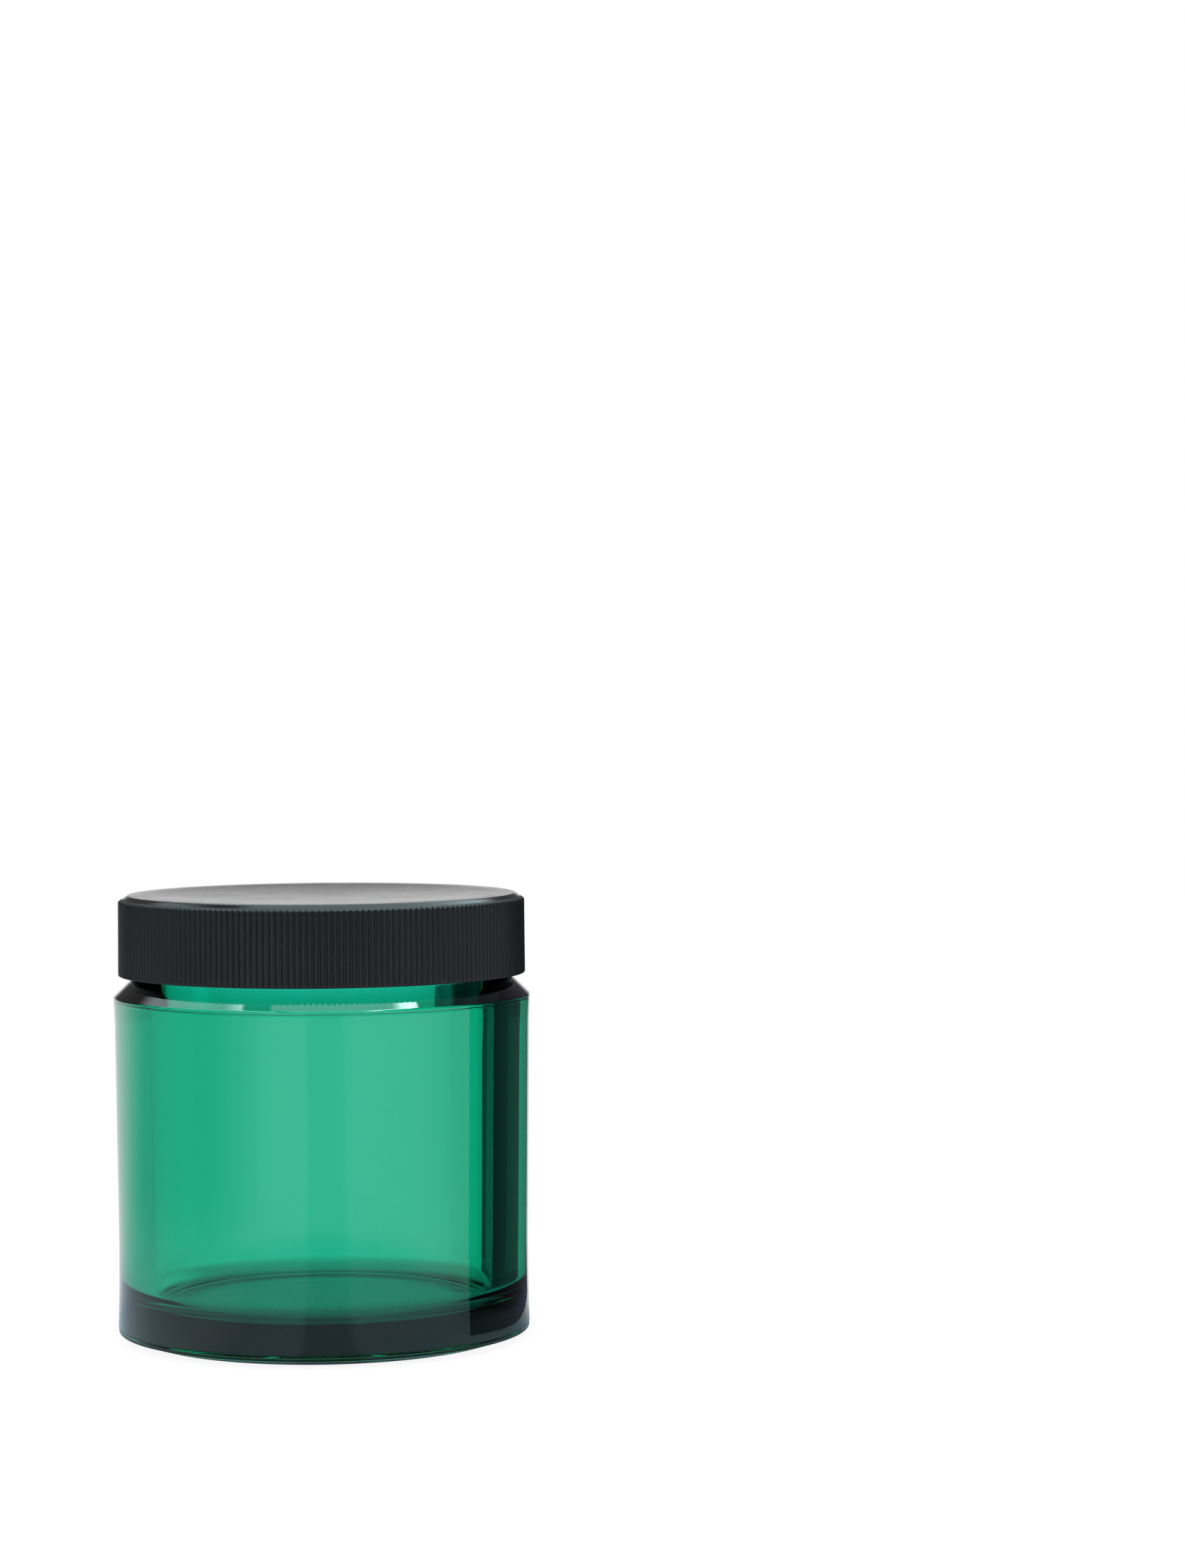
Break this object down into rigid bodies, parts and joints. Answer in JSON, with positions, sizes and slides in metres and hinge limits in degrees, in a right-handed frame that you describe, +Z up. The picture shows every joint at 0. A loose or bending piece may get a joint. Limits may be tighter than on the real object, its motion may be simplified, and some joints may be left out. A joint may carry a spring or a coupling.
{
  "type": "screw-top storage jar",
  "caption": "Small wide-mouth jar in thick transparent green polymer with a finely ribbed black screw lid and a loose sealing liner.",
  "frame": {"origin": "centre of the ring under the base that the jar stands on, on the table plane", "axes": "+Z up along the axis of the jar, its thread and its lid; +X points to the start of the neck's thread"},
  "size_m": [0.06, 0.06, 0.0639],
  "materials": {
    "green_polymer": "polished, see-through",
    "black_lid": "satin moulded",
    "white_liner": "foam"
  },
  "bodies": {
    "jar": {"jar_body": "green_polymer"},
    "liner": {"seal_liner": "white_liner"},
    "lid": {"screw_lid": "black_lid"}
  },
  "joints": [
    {"name": "lid_rise", "type": "slide", "parent": "jar", "child": "liner", "axis": [0, 0, 1], "range_m": [0, 0.01692]},
    {"name": "lid_turn", "type": "hinge", "parent": "liner", "child": "lid", "pos_m": [0, 0, 0.0573], "axis": [0, 0, 1], "range_deg": [0, 1440]}
  ],
  "couplings": [
    {"joint": "lid_rise", "follows": "lid_turn", "m_per_rad": 0.00067322}
  ]
}
